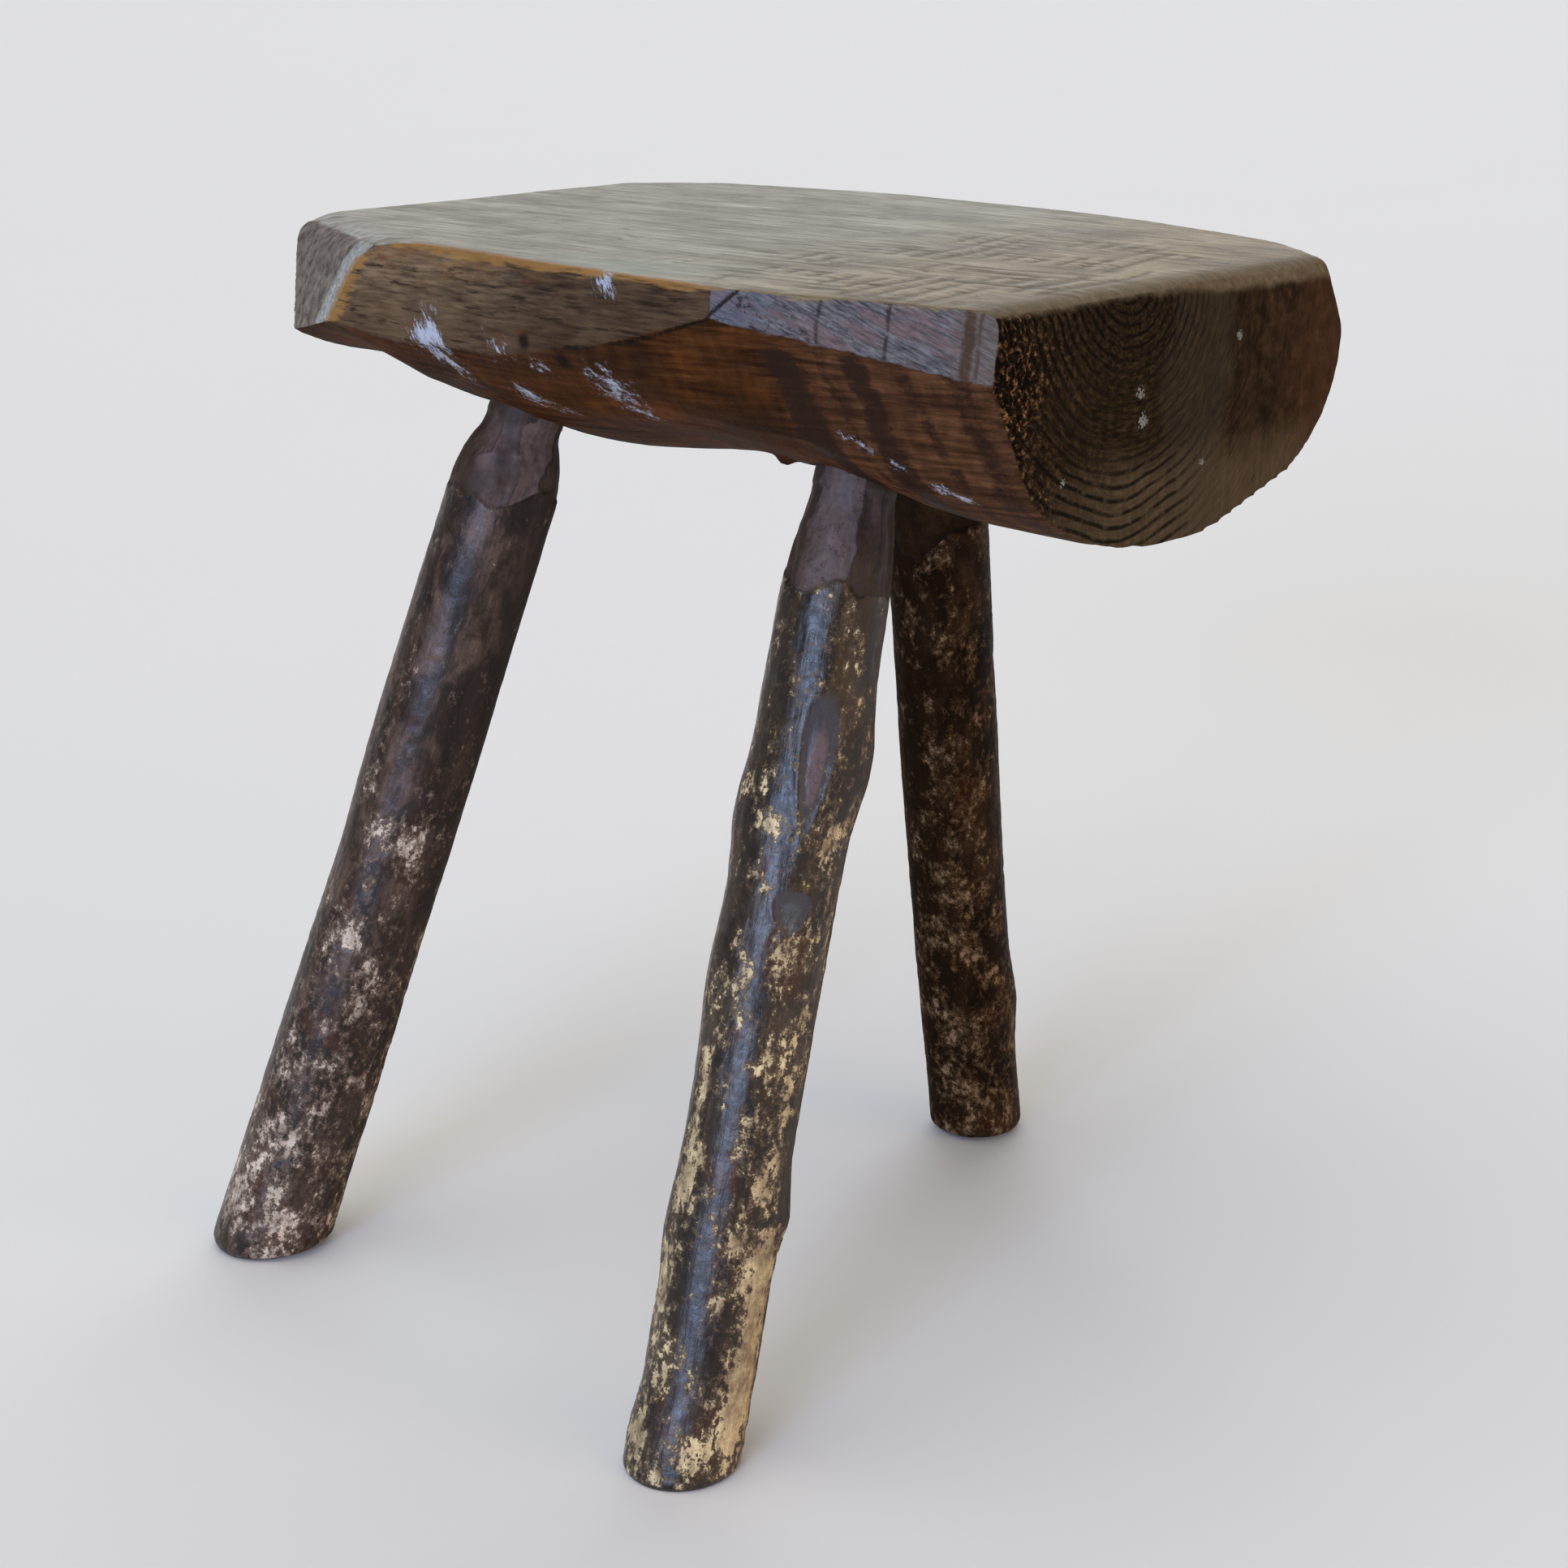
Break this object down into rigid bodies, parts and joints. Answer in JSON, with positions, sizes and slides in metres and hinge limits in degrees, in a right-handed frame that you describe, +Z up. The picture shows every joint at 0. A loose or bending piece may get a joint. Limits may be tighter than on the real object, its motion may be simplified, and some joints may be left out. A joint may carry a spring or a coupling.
{
  "type": "milking stool",
  "caption": "Low rustic stool: a D-shaped seat hewn from half a log, held up by splayed branch legs whose tenons sit in blind sockets.",
  "frame": {"origin": "middle of the bounding box on the plane the feet stand on", "axes": "+Z up; +X along the length of the seat, towards its thick end; +Y from the two-legged front edge to the curved back edge"},
  "size_m": [0.344, 0.2926, 0.35],
  "materials": {
    "hewn_softwood": "old hewn softwood, grey-brown and worn smooth on top, red-brown log side, dark end grain",
    "bark_left": "dark branch wood with thin bark worn through to tan patches",
    "bark_front": "dark branch wood, bark flaked off to cream wood on the lower half",
    "bark_back": "dark brown branch wood with a few tan flecks"
  },
  "bodies": {
    "root": {"seat": "hewn_softwood", "leg_left": "bark_left", "leg_front": "bark_front", "leg_back": "bark_back"}
  },
  "joints": []
}
